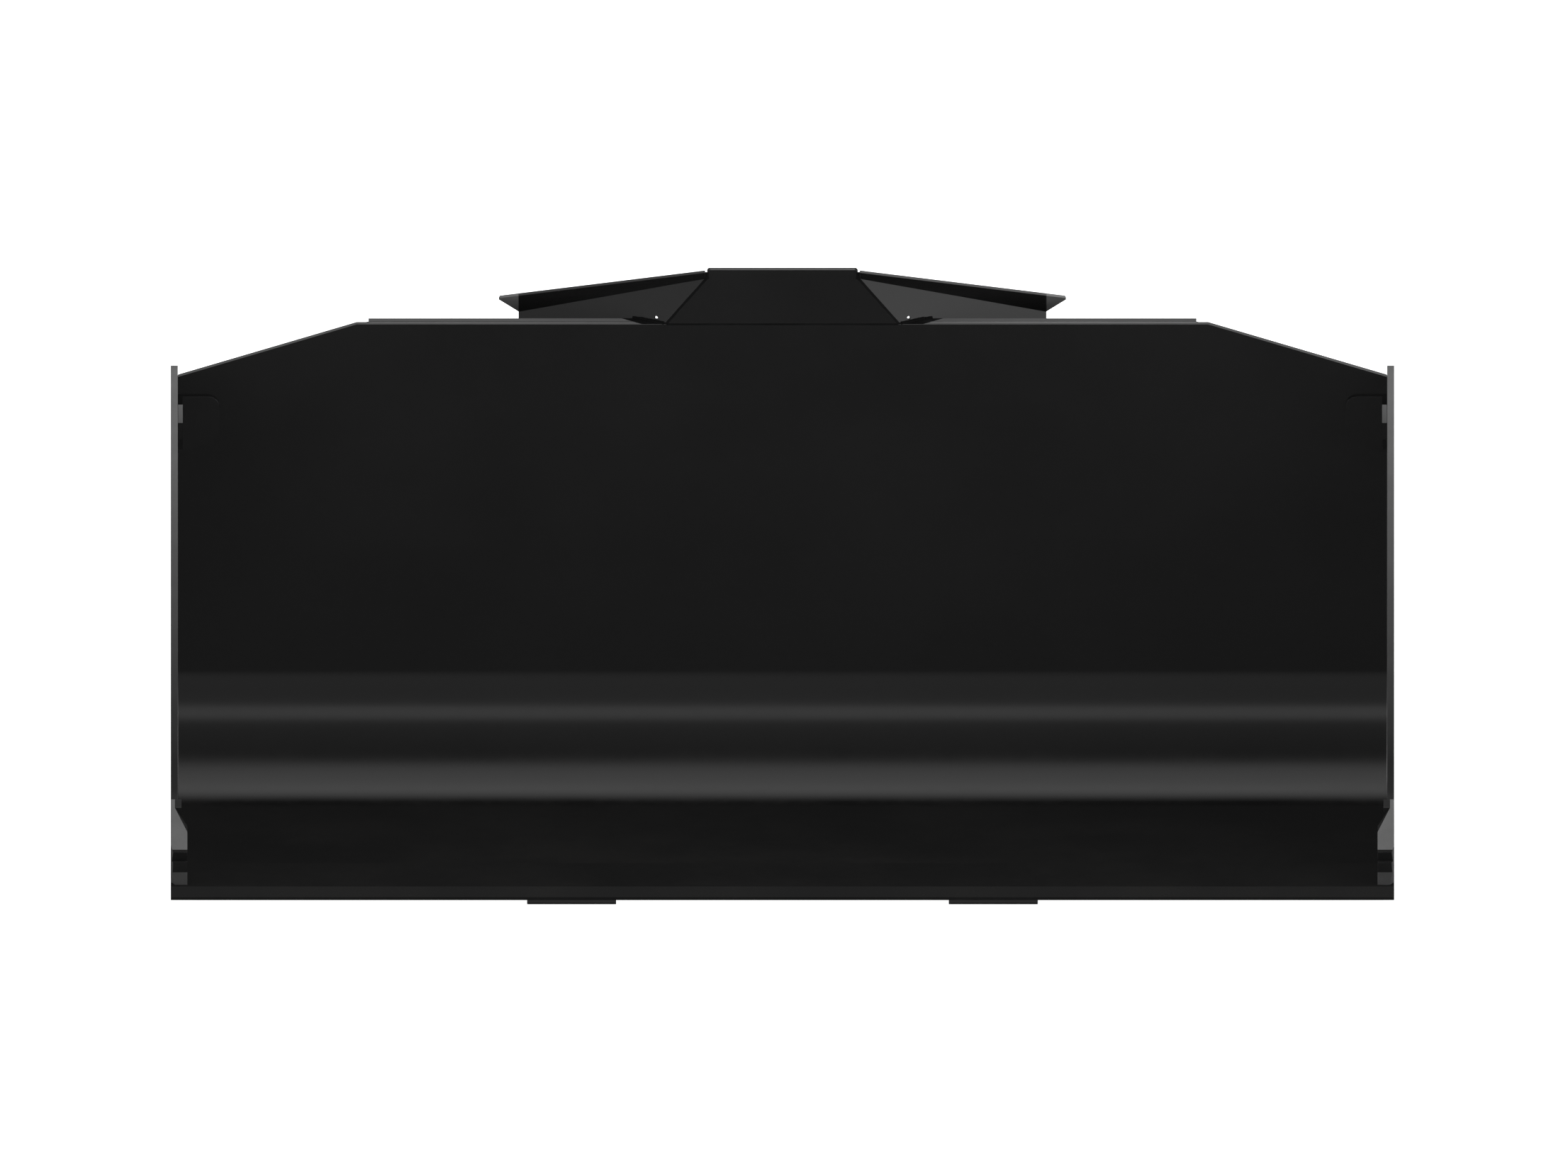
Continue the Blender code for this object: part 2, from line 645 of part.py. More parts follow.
BLACK_PAINT = paint("black_paint", (0.012, 0.012, 0.013), 0.38)
BARE_STEEL = paint("bare_steel", (0.32, 0.31, 0.30), 0.35, 1.0)
BUCKET_FRAME = bpy.data.objects.new("bucket_frame", None)
bpy.context.scene.collection.objects.link(BUCKET_FRAME)
BUCKET_FRAME.location = (0, -DEPTH / 2, 0)

make_shell()
make_side_plates()
make_cutting_edge()
make_corner_guards()
make_wear_bars()
make_lip_bar()
make_spill_plate()
make_wings()
make_corner_brackets()
make_hangers()
make_rear_channel()
make_rear_ribs()
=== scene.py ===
"""Looks of a compact wheel loader's bucket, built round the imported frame. X runs across, +Y back, +Z up."""

from math import cos, pi, radians, sin

import bmesh
import bpy
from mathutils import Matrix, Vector, noise


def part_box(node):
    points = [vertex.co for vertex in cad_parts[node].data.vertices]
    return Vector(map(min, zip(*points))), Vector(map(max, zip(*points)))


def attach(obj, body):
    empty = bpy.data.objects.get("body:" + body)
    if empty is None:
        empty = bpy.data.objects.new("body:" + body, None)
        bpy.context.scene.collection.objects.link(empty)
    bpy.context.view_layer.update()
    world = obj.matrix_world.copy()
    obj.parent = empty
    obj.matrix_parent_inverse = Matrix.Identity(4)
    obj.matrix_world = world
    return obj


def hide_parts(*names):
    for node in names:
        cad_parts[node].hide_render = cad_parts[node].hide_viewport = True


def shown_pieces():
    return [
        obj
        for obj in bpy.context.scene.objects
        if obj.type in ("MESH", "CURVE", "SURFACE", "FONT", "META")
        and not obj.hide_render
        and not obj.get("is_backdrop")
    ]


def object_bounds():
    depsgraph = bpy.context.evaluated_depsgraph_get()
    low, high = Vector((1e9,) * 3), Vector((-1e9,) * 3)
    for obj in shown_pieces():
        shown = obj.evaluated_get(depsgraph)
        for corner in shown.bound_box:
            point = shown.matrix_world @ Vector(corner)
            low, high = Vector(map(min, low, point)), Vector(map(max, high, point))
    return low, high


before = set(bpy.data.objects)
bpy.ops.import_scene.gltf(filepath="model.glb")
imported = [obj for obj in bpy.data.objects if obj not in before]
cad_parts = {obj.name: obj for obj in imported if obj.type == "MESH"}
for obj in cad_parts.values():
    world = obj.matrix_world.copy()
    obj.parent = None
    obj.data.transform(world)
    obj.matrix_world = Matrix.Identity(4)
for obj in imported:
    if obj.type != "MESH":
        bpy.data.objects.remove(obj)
cad_low, cad_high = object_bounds()

# Shell: floor, heel and back in one 8 mm plate, rolled to shape on a plate roll and sprayed black.
# The top corners are flame cut to a slope. Every other piece of the bucket is welded to this one.
TIP = cad_low.y
shell_low, shell_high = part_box("shell")
spill_low, spill_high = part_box("spill_guard_plate")
GAP = 0.0003
SHELL_T = 0.008
FLOOR_TOP = shell_low.z + SHELL_T
HEEL_START = TIP + 0.665
HEEL_RADIUS = 0.156
HEEL_TURN = radians(107)
BACK_LENGTH = 0.6725
CORNER_DROP = 0.102
BACK_CORNER = BACK_LENGTH - CORNER_DROP
LIP_HALF = 0.717
PAINT_BLACK = (0.0045, 0.0045, 0.0045)
PAINT_DUST = (0.060, 0.054, 0.046)
PAINT_RUBBED = (0.040, 0.040, 0.043)
# Metal grey, mixed in for wear on cut edges and, in larger shares, as a painted highlight.
METAL_GREY_AND_HIGHLIGHT = (0.116, 0.116, 0.116)
HEEL_STEPS = 60
ROUND_SEGMENTS = 3
ROUND_FROM = radians(33)


class Wire:
    """One output of a node, so that shader maths reads as plain sums."""

    def __init__(self, graph, socket):
        self.graph = graph
        self.socket = socket

    def sums(self, operation, *values):
        return self.graph.node("Math", {"operation": operation}, dict(enumerate(values)))

    def __add__(self, other):
        return self.sums("ADD", self, other)

    def __sub__(self, other):
        return self.sums("SUBTRACT", self, other)

    def __rsub__(self, other):
        return self.sums("SUBTRACT", other, self)

    def __mul__(self, other):
        return self.sums("MULTIPLY", self, other)

    def __truediv__(self, other):
        return self.sums("DIVIDE", self, other)

    def __pow__(self, other):
        return self.sums("POWER", self, other)

    __radd__ = __add__
    __rmul__ = __mul__


class Graph:
    """A node tree being wired up."""

    def __init__(self, tree):
        self.tree = tree

    def node(self, kind, settings=None, sockets=None, out=0):
        made = self.tree.nodes.new("ShaderNode" + kind)
        for key, value in (settings or {}).items():
            if key == "stops":
                ramp = made.color_ramp.elements
                while len(ramp) < len(value):
                    ramp.new(0.5)
                for stop, (place, shade) in zip(ramp, value):
                    stop.position = place
                    stop.color = (shade, shade, shade, 1)
            else:
                setattr(made, key, value)
        for key, value in (sockets or {}).items():
            self.plug(made.inputs[key], value)
        return Wire(self, made.outputs[out])

    def plug(self, socket, value):
        if isinstance(value, Wire):
            self.tree.links.new(value.socket, socket)
        elif isinstance(value, tuple) and socket.type == "RGBA":
            socket.default_value = (*value, 1)
        else:
            socket.default_value = value

    def noise(self, where, scale, detail=3.0, roughness=0.5, distortion=0.0):
        sockets = {
            "Vector": where,
            "Scale": scale,
            "Detail": detail,
            "Roughness": roughness,
            "Distortion": distortion,
        }
        return self.node("TexNoise", None, sockets)

    def stretched(self, where, scale):
        return self.node("Mapping", None, {"Vector": where, "Scale": scale})

    def band(self, value, low, high):
        """0 below low, 1 above high and smooth between."""
        sockets = {"Value": value, "From Min": low, "From Max": high}
        return self.node("MapRange", {"interpolation_type": "SMOOTHSTEP"}, sockets)

    def mix(self, share, first, second):
        sockets = {"Factor": share, 6: first, 7: second}
        return self.node("Mix", {"data_type": "RGBA"}, sockets, out=2)


def black_paint(
    name,
    seed,
    gloss=0.21,
    grain=(1, 1, 1),
    dust=0.35,
    rub=0.5,
    cast=0.0,
    ripple=0.0,
    grey_wear_and_highlight=0.0,
    where=None,
    ior=1.5,
):
    """Sprayed satin black. grain draws the roller and grinding marks out along an axis, dust lies on
    what faces up, rub thins the coat along the edges and cast is the depth of a rough skin below it.
    ripple is the height of a weld's waves. The grey argument mixes the metal's grey into the colour: a
    little of it is wear on cut edges, and the large shares are a painted highlight for the light that
    some faces catch. where gives the share of that at a place, and ior sets how much the coat mirrors."""
    material = bpy.data.materials.new(name)
    material.use_nodes = True
    graph = Graph(material.node_tree)
    paint = material.node_tree.nodes["Principled BSDF"]
    place = graph.node("TexCoord", out=3)
    at = graph.node("VectorMath", {"operation": "ADD"}, {0: place, 1: (seed * 1.7, seed * 0.9, seed * 2.3)})
    lines = graph.stretched(at, grain)
    cloudy = graph.noise(at, 3.5, 4.0, 0.55)
    mottle = graph.noise(at, 42.0, 3.0, 0.6)
    marks = graph.noise(lines, 26.0, 5.0, 0.62)
    fine = graph.noise(lines, 170.0, 3.0, 0.6)
    peel = graph.noise(at, 430.0, 1.5, 0.45)
    specks = graph.noise(at, 260.0, 2.0, 0.5)
    shape = graph.node("NewGeometry", out=1)
    upward = graph.band(graph.node("SeparateXYZ", None, {0: shape}, out=2), 0.25, 0.95)
    soft = graph.node("Bevel", {"samples": 4}, {"Radius": 0.0035})
    turn = graph.node("VectorMath", {"operation": "DOT_PRODUCT"}, {0: soft, 1: shape}, out=1)
    edge = graph.band(1 - turn, 0.015, 0.16)
    rubbed = edge * graph.band(marks + 0.5 * mottle, 0.68, 0.92) * rub
    powder = upward * graph.band(cloudy + 0.35 * mottle, 0.50, 0.90) * dust
    flecks = graph.band(specks, 0.735, 0.80) * (0.25 + 0.75 * upward) * dust
    tint = graph.mix(graph.band(cloudy, 0.3, 0.7), PAINT_BLACK, tuple(1.28 * c for c in PAINT_BLACK))
    tint = graph.mix(0.16 * powder + 0.30 * flecks, tint, PAINT_DUST)
    tint = graph.mix(0.45 * rubbed, tint, PAINT_RUBBED)
    # Metal grey mixed into the colour: a little is wear on cut edges, and the large shares are a painted
    # highlight on faces that catch the light.
    if grey_wear_and_highlight:
        wear_and_highlight = grey_wear_and_highlight * (0.75 + 0.5 * marks)
        if where:
            wear_and_highlight = wear_and_highlight * where(graph, place)
        tint = graph.mix(wear_and_highlight, tint, METAL_GREY_AND_HIGHLIGHT)
    graph.plug(paint.inputs["Base Color"], tint)
    sheen = gloss - 0.035 + 0.05 * cloudy + 0.05 * (mottle - 0.5) + 0.05 * (marks - 0.5)
    graph.plug(paint.inputs["Roughness"], sheen + 0.16 * powder + 0.12 * rubbed)
    paint.inputs["IOR"].default_value = ior
    relief = 0.000016 * peel + 0.000012 * fine + 0.00010 * mottle * (0.25 + cast) + 0.0004 * cast * marks
    if ripple:
        sockets = {"Vector": at, "Scale": 55.0, "Distortion": 3.0}
        relief = relief + ripple * graph.node("TexWave", {"bands_direction": "DIAGONAL"}, sockets)
    bump = graph.node("Bump", None, {"Height": relief, "Distance": 1.0, "Strength": 1.0})
    graph.plug(paint.inputs["Normal"], bump)
    return material


def heel(turn, out):
    """Section point on the heel's inner face, turn round from the floor, moved out through the plate."""
    radius = HEEL_RADIUS + out
    return (HEEL_START + radius * sin(turn), FLOOR_TOP + HEEL_RADIUS - radius * cos(turn))


def back(rise, out):
    """Section point on the back's inner face, rise up from the heel, moved out through the plate."""
    y, z = heel(HEEL_TURN, out)
    return (y + rise * cos(HEEL_TURN), z + rise * sin(HEEL_TURN))


def heel_arc(start, stop, out, steps=HEEL_STEPS):
    return [heel(start + (stop - start) * i / steps, out) for i in range(steps + 1)]


back_out = Vector((0, sin(HEEL_TURN), -cos(HEEL_TURN)))
back_up = Vector((0, cos(HEEL_TURN), sin(HEEL_TURN)))


def new_piece(name, points, faces, finish, cut_faces=()):
    """A closed piece from its points and faces, outward, riding on the bucket. cut_faces are the
    numbers of the faces that are the plate's cut edges, which take the thinner paint of those."""
    edit = bmesh.new()
    corners = [edit.verts.new(p) for p in points]
    for face in faces:
        edit.faces.new([corners[i] for i in face])
    bmesh.ops.recalc_face_normals(edit, faces=edit.faces)
    edit.faces.ensure_lookup_table()
    for number in cut_faces:
        edit.faces[number].material_index = 1
    mesh = bpy.data.meshes.new(name)
    edit.to_mesh(mesh)
    edit.free()
    mesh.shade_smooth()
    mesh.materials.append(finish)
    if cut_faces:
        mesh.materials.append(cut_edge_paint)
    piece = bpy.data.objects.new(name, mesh)
    bpy.context.scene.collection.objects.link(piece)
    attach(piece, "root")
    return piece


def rounded(piece, radius):
    """Breaks the sharp edges, as a grinder and a coat of paint do."""
    bevel = piece.modifiers.new("rounded_edges", "BEVEL")
    bevel.width = radius
    bevel.segments = ROUND_SEGMENTS
    bevel.limit_method = "ANGLE"
    bevel.angle_limit = ROUND_FROM
    bevel.harden_normals = True


columns = [shell_low.x, -LIP_HALF, spill_low.x, spill_high.x, LIP_HALF, shell_high.x]
tops = [BACK_CORNER] + [BACK_LENGTH] * 4 + [BACK_CORNER]
skins = []
for out in (0, SHELL_T):
    rows = [[(shell_low.y, FLOOR_TOP - out)] * len(columns)]
    rows += [[point] * len(columns) for point in heel_arc(0, HEEL_TURN, out)]
    rows.append([back(top, out) for top in tops])
    skins.append(rows)
wide, tall = len(columns), len(skins[0])
points = [(x, *row[k]) for rows in skins for row in rows for k, x in enumerate(columns)]
faces = []
for skin in (0, wide * tall):
    for i in range(tall - 1):
        for k in range(wide - 1):
            a = skin + i * wide + k
            faces.append((a, a + 1, a + wide + 1, a + wide))
rim = list(range(wide)) + [i * wide + wide - 1 for i in range(1, tall)]
rim += [(tall - 1) * wide + k for k in range(wide - 2, -1, -1)]
rim += [i * wide for i in range(tall - 2, 0, -1)]
skin_faces = len(faces)
for a, b in zip(rim, rim[1:] + rim[:1]):
    faces.append((a, b, b + wide * tall, a + wide * tall))
rolled_paint = black_paint("rolled_shell_paint", 1, grain=(0.04, 1, 1), dust=0.30, rub=0.35)
cut_edge_paint = black_paint(
    "cut_edge_paint", 20, gloss=0.40, dust=0.3, rub=0.6, cast=0.2, grey_wear_and_highlight=0.06, ior=2.15
)
under_spill_plate = skin_faces + (wide - 1) + (tall - 1) + wide // 2 - 1
cut_faces = [i for i in range(skin_faces, len(faces)) if i != under_spill_plate]
shell = new_piece("rolled_shell", points, faces, rolled_paint, cut_faces=cut_faces)
rounded(shell, 0.0006)
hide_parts("shell")

# Side plates: 12 mm plate, flame cut. The leading edge bulges forward in one long arc, and the rear
# edge stands out past the shell all the way round, to leave room for the weld.
SIDE_LAP = 0.004
SIDE_RISE = 0.015
SIDE_LEDGE = 0.012
SIDE_BULGE = 0.068
LEADING_STEPS = 56
HIGHLIGHT_FROM = 0.22
HIGHLIGHT_TO = 0.81


def bulged_arc(start, stop, bulge, steps):
    """Points of a circular arc from start to stop that stands out to the left of that direction."""
    a, b = Vector(start), Vector(stop)
    chord = (b - a).length
    along = (b - a) / chord
    left = Vector((-along.y, along.x))
    radius = (chord**2 / 4 + bulge**2) / (2 * bulge)
    centre = (a + b) / 2 + left * (bulge - radius)
    first, last = a - centre, b - centre
    half = first.angle(last) / 2
    turns = [half * (2 * i / steps - 1) for i in range(steps + 1)]
    return [centre + along * radius * sin(t) + left * radius * cos(t) for t in turns]


def plate_piece(name, outline, low, high, finish, cut=True):
    """Flat (y, z) outline cut from plate, carried from low to high across the bucket."""
    count = len(outline)
    points = [(x, y, z) for x in (low, high) for y, z in outline]
    faces = [(i, (i + 1) % count, count + (i + 1) % count, count + i) for i in range(count)]
    faces += [tuple(range(count)), tuple(range(2 * count - 1, count - 1, -1))]
    return new_piece(name, points, faces, finish, cut_faces=range(count) if cut else ())


def highlight_higher_up(graph, place):
    """Painted highlight on the cut edges, lighter higher up, where the bulging leading edge faces up into the
    light.
    """
    height = graph.node("SeparateXYZ", None, {0: place}, out=2)
    return graph.node("MapRange", None, {"Value": height, "From Min": HIGHLIGHT_FROM, "From Max": HIGHLIGHT_TO})


guard_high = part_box("corner_guard_left")[1]
edge_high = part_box("cutting_edge")[1]
corner_rise = BACK_CORNER + SIDE_RISE
side_paint = black_paint("side_plate_paint", 2, gloss=0.27, grain=(1, 1, 0.06), dust=0.3, rub=0.45)
# The side plates' cut edges take metal grey that grows towards the top: a painted highlight for the light on
# the upper leading edge, with real rubbing marks in it.
side_edge_highlight_paint = black_paint(
    "side_plate_edge_highlight_paint",
    21,
    gloss=0.38,
    dust=0.3,
    rub=0.6,
    cast=0.2,
    grey_wear_and_highlight=0.95,
    where=highlight_higher_up,
    ior=1.45,
)
for word in ("left", "right"):
    low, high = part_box(f"side_plate_{word}")
    foot = low.y
    outline = [(foot, edge_high.z + GAP), (shell_low.y, edge_high.z + GAP), (shell_low.y, low.z)]
    outline += heel_arc(0, HEEL_TURN, SHELL_T + SIDE_LAP)
    outline.append(back(corner_rise, SHELL_T + SIDE_LAP))
    leading = bulged_arc((foot, guard_high.z), back(corner_rise, -SIDE_LEDGE), SIDE_BULGE, LEADING_STEPS)
    outline += [tuple(p) for p in reversed(leading)]
    plate = plate_piece(f"flame_cut_side_{word}", outline, low.x, high.x, side_paint)
    plate.data.materials[1] = side_edge_highlight_paint
    rounded(plate, 0.0007)
    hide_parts(f"side_plate_{word}")

# Cutting edge: an 18 mm bar of wear-resisting steel across the whole front, planed to a bevel on top.
# It is butted to the floor, flush below, and its skin keeps some of the mill's roughness under the paint.
EDGE_BEVEL = 0.025
EDGE_NOSE = 0.0048
low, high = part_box("cutting_edge")
outline = [
    (low.y, low.z),
    (high.y, low.z),
    (high.y, high.z),
    (low.y + EDGE_BEVEL, high.z),
    (low.y, low.z + EDGE_NOSE),
]
edge_paint = black_paint("cutting_edge_paint", 3, grain=(0.05, 1, 1), dust=0.2, rub=0.3, cast=0.04)
bevel_paint = black_paint(
    "bevel_paint", 17, gloss=0.26, grain=(0.05, 1, 1), dust=0.2, rub=0.4, cast=0.03, ior=1.16
)
cutting_edge = plate_piece("bevelled_edge_bar", outline, low.x, high.x, edge_paint, cut=False)
cutting_edge.data.materials.append(bevel_paint)
for face in cutting_edge.data.polygons:
    face.material_index = int(face.normal.y < -0.3)
cutting_edge.data.set_sharp_from_angle(angle=radians(20))
rounded(cutting_edge, 0.0008)
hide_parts("cutting_edge")

# Corner guards: forged blocks that close the gap between the cutting edge and the side plates. The
# toe steps up in short faces, and the long ramp above it runs into the side plate's leading edge.
RAMP_TIP = 0.007
WEB_FRONT = 0.124
STEP_AREA = 0.0004
RAMP_AREA = 0.0010
MERGE_DISTANCE = 2e-5
FLAT_WITHIN = radians(0.6)


def whole_faces(node, name, finish, radius, cut_width=0.0):
    """A piece with the node's shape, its facets joined back into whole faces and its edges rounded.
    Faces narrower than cut_width are cut edges."""
    edit = bmesh.new()
    edit.from_mesh(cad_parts[node].data)
    bmesh.ops.remove_doubles(edit, verts=edit.verts, dist=MERGE_DISTANCE)
    bmesh.ops.dissolve_limit(edit, angle_limit=FLAT_WITHIN, verts=edit.verts, edges=edit.edges)
    edit.verts.index_update()
    points = [v.co.copy() for v in edit.verts]
    faces = [[v.index for v in face.verts] for face in edit.faces]
    widths = [2 * face.calc_area() / face.calc_perimeter() for face in edit.faces]
    edit.free()
    cut_faces = [i for i, width in enumerate(widths) if width < cut_width]
    piece = new_piece(name, points, faces, finish, cut_faces=cut_faces)
    rounded(piece, radius)
    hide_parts(node)
    return piece


def ramp_highlight_share(graph, place):
    """Where the ramp is painted light: all of it but the top of the web behind it, which is narrower and
    keeps the plain dark paint.
    """
    across = graph.node("Math", {"operation": "ABSOLUTE"}, {0: graph.node("SeparateXYZ", None, {0: place})})
    depth = graph.node("SeparateXYZ", None, {0: place}, out=1)
    inner = 1 - graph.band(across, cad_high.x - RAMP_TIP - 0.0006, cad_high.x - RAMP_TIP + 0.0006)
    return 1 - inner * graph.band(depth, TIP + WEB_FRONT - 0.001, TIP + WEB_FRONT + 0.001)


# The ramp, the toe's larger steps and the outer corner faces take metal grey: a painted highlight for the
# light these faces catch, over real rubbing marks.
guard_paint = black_paint("corner_guard_paint", 4, gloss=0.26, dust=0.25, rub=0.6, cast=0.3, ior=1.22)
ramp_highlight_paint = black_paint(
    "rubbed_ramp_highlight_paint", 14, gloss=0.36, dust=0.2, rub=0.9, cast=0.3, grey_wear_and_highlight=0.88, where=ramp_highlight_share, ior=1.3
)
knocked_highlight_paint = black_paint("knocked_guard_highlight_paint", 16, gloss=0.36, dust=0.2, rub=0.9, cast=0.3, grey_wear_and_highlight=0.22)
for word in ("left", "right"):
    guard = whole_faces(f"corner_guard_{word}", f"forged_guard_{word}", guard_paint, 0.0009)
    guard.data.materials.append(ramp_highlight_paint)
    guard.data.materials.append(knocked_highlight_paint)
    for face in guard.data.polygons:
        forward_up = face.normal.z > 0.4 and face.normal.y < -0.4
        outer_corner = 0.8 < abs(face.normal.x) < 0.99 and face.normal.y < -0.2
        if forward_up and face.area > RAMP_AREA:
            face.material_index = 1
        elif outer_corner or (forward_up and face.area > STEP_AREA):
            face.material_index = 2

# Wear bars and heel strips: 16 mm flat bar under the floor, and the same bar rolled round the heel.
# They are the only pieces that touch the ground, so their paint goes first.
WEAR_T = 0.016
HEEL_WEAR_TURN = radians(48)
HEEL_WEAR_STEPS = 36
wear_paint = black_paint("wear_bar_paint", 5, gloss=0.34, grain=(1, 0.05, 1), dust=0.4, rub=1.0, cast=0.35)
for word in ("left", "right"):
    whole_faces(f"wear_bar_{word}", f"flat_wear_bar_{word}", wear_paint, 0.0010)
    low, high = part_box(f"heel_wear_strip_{word}")
    outline = heel_arc(0, HEEL_WEAR_TURN, SHELL_T + WEAR_T, HEEL_WEAR_STEPS)
    outline += reversed(heel_arc(0, HEEL_WEAR_TURN, SHELL_T + GAP, HEEL_WEAR_STEPS))
    strip = plate_piece(f"rolled_heel_strip_{word}", outline, low.x, high.x, wear_paint, cut=False)
    rounded(strip, 0.0010)
    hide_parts(f"heel_wear_strip_{word}")

# Lip bar: 80 x 12 mm flat bar along the top of the back, on the outside, to stiffen the lip. The
# weld between them is ground flush along the top.
BAR_WIDTH = 0.080
BAR_T = 0.012
FLUSH_LAP = 0.0014
FLUSH_STAND = 0.00006
FLUSH_DEPTH = 0.003
bar_foot = BACK_LENGTH - BAR_WIDTH
bar_rear = SHELL_T + GAP + BAR_T
bar_paint = black_paint("lip_bar_paint", 6, gloss=0.27, grain=(0.04, 1, 1), dust=0.45, rub=0.5)
whole_faces("lip_bar", "stiffening_lip_bar", bar_paint, 0.0006, 0.013)
low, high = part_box("lip_bar")
seam_rises = (BACK_LENGTH - FLUSH_DEPTH, BACK_LENGTH + FLUSH_STAND)
seam_across = (SHELL_T - FLUSH_LAP, SHELL_T + GAP + FLUSH_LAP)
seam = [back(rise, out) for out in seam_across for rise in seam_rises]
points = [(x, *place) for x in (low.x, high.x) for place in seam]
sides = [(0, 1, 3, 2), (4, 6, 7, 5), (0, 4, 5, 1), (1, 5, 7, 3), (3, 7, 6, 2), (2, 6, 4, 0)]
new_piece("flush_lip_weld", points, sides, cut_edge_paint)

# Spill guard: a centre plate that carries the back upwards, and two swept wings of 5 mm sheet, each
# with its top edge folded forward as a flange, and a small relief hole low down at its root. The
# flanges' free tips, beyond the wings' ends, are painted light grey: a painted reflection of the bright
# floor. The centre plate is sunk a little into its weld on the lip.
WING_END = 0.4445
SPILL_SEAT = 0.004
SPILL_SINK = 0.0009


def flange_tip_reflection_share(graph, place):
    """The flanges' free tips, beyond the wings' ends, where a painted reflection lightens the paint."""
    across = graph.node("Math", {"operation": "ABSOLUTE"}, {0: graph.node("SeparateXYZ", None, {0: place})})
    return graph.band(across, WING_END - 0.0012, WING_END + 0.0012)


spill_paint = black_paint("spill_guard_paint", 7, gloss=0.26, grain=(0.06, 1, 1), dust=0.25, rub=0.45)
# The flange tips past the wings' ends are mixed with metal grey: a painted reflection of the bright floor.
wing_reflection_tip_paint = black_paint(
    "spill_wing_reflection_tip_paint",
    8,
    gloss=0.25,
    grain=(0.06, 1, 1),
    dust=0.3,
    rub=0.55,
    grey_wear_and_highlight=0.85,
    where=flange_tip_reflection_share,
)
centre_plate = whole_faces("spill_guard_plate", "spill_centre_plate", spill_paint, 0.0006, 0.009)
for face in centre_plate.data.polygons:
    if abs(face.normal.x) > 0.1 and face.normal.z > 0.1:
        face.material_index = 0
for corner in centre_plate.data.vertices:
    if corner.co.z < spill_low.z + SPILL_SEAT:
        corner.co -= SPILL_SINK * back_up
for word in ("left", "right"):
    whole_faces(f"spill_guard_wing_{word}", f"folded_spill_wing_{word}", wing_reflection_tip_paint, 0.0004)

# Corner brackets: bent 8 mm plate in each top corner, one leg on the back and one on the side plate,
# which keeps the open corner from spreading. The cheek's sloping front is rubbed by the load.
CHEEK_SLOPE = 0.0001
bracket_paint = black_paint("corner_bracket_paint", 9, gloss=0.22, dust=0.2, rub=0.2)
bracket_edge_paint = black_paint("bracket_edge_paint", 18, gloss=0.45, dust=0.0, rub=0.1, ior=1.1)
for word in ("left", "right"):
    bracket = whole_faces(f"corner_bracket_{word}", f"bent_corner_bracket_{word}", bracket_paint, 0.0004)
    bracket.data.materials.append(cut_edge_paint)
    bracket.data.materials.append(bracket_edge_paint)
    for face in bracket.data.polygons:
        forward_up = face.normal.z > 0.55 and face.normal.y < -0.6
        toward_side = abs(face.normal.x) > 0.3 or face.normal.z > 0.3
        if forward_up and face.area > CHEEK_SLOPE:
            face.material_index = 1
        elif toward_side and face.normal.y > -0.6:
            face.material_index = 2

# Rear channel and ribs: pressed channel across the back between the hangers, and a flat rib on edge
# outboard of each pair, which follows the heel and the back.
RIB_DEPTH = 0.040
RIB_HEEL_TURN = radians(42)
RIB_TAPER = 0.060
RIB_FOOT = SHELL_T + GAP
RIB_STEPS = 40
RIB_CROWN_STEPS = 36
channel_paint = black_paint("rear_channel_paint", 10, gloss=0.30, grain=(0.05, 1, 1), dust=0.6, rub=0.6)
rib_paint = black_paint("rear_rib_paint", 11, gloss=0.30, dust=0.5, rub=0.7)
whole_faces("rear_channel", "pressed_channel", channel_paint, 0.0016)
crown = RIB_FOOT + RIB_DEPTH
crown_start = RIB_HEEL_TURN + RIB_TAPER / (HEEL_RADIUS + crown)
rib_outline = heel_arc(RIB_HEEL_TURN, HEEL_TURN, RIB_FOOT, RIB_STEPS)
rib_outline += [back(BACK_CORNER, RIB_FOOT), back(BACK_CORNER - RIB_TAPER, crown)]
rib_outline += reversed(heel_arc(crown_start, HEEL_TURN, crown, RIB_CROWN_STEPS))
for word in ("left", "right"):
    low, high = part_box(f"rear_rib_{word}")
    rib = plate_piece(f"flat_rib_{word}", rib_outline, low.x, high.x, rib_paint)
    rounded(rib, 0.0010)
    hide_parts(f"rear_rib_{word}")

# Hangers: two pairs of 20 mm plate, flame cut, that carry the hook pins at the top and the lock
# bushes at the bottom. The loader's coupler drops its hooks between the plates of each pair.
hanger_paint = black_paint("hanger_paint", 12, gloss=0.29, grain=(1, 1, 0.08), dust=0.4, rub=0.9, cast=0.12)
hangers = [f"hanger_{word}_{place}" for word in ("left", "right") for place in ("inner", "outer")]
for node in hangers:
    whole_faces(node, f"flame_cut_{node}", hanger_paint, 0.0014, 0.021)

# Hook pins and lock bushes: turned steel, left bare where the coupler works on it. The pins have a
# chamfer at each end, and the bushes are bored and stand out of the plate on both sides.
STEEL_BRIGHT = (0.36, 0.35, 0.34)
STEEL_DULL = (0.13, 0.125, 0.12)
GREASE = (0.035, 0.027, 0.016)
RUST = (0.12, 0.045, 0.018)
TURN_STEPS = 96


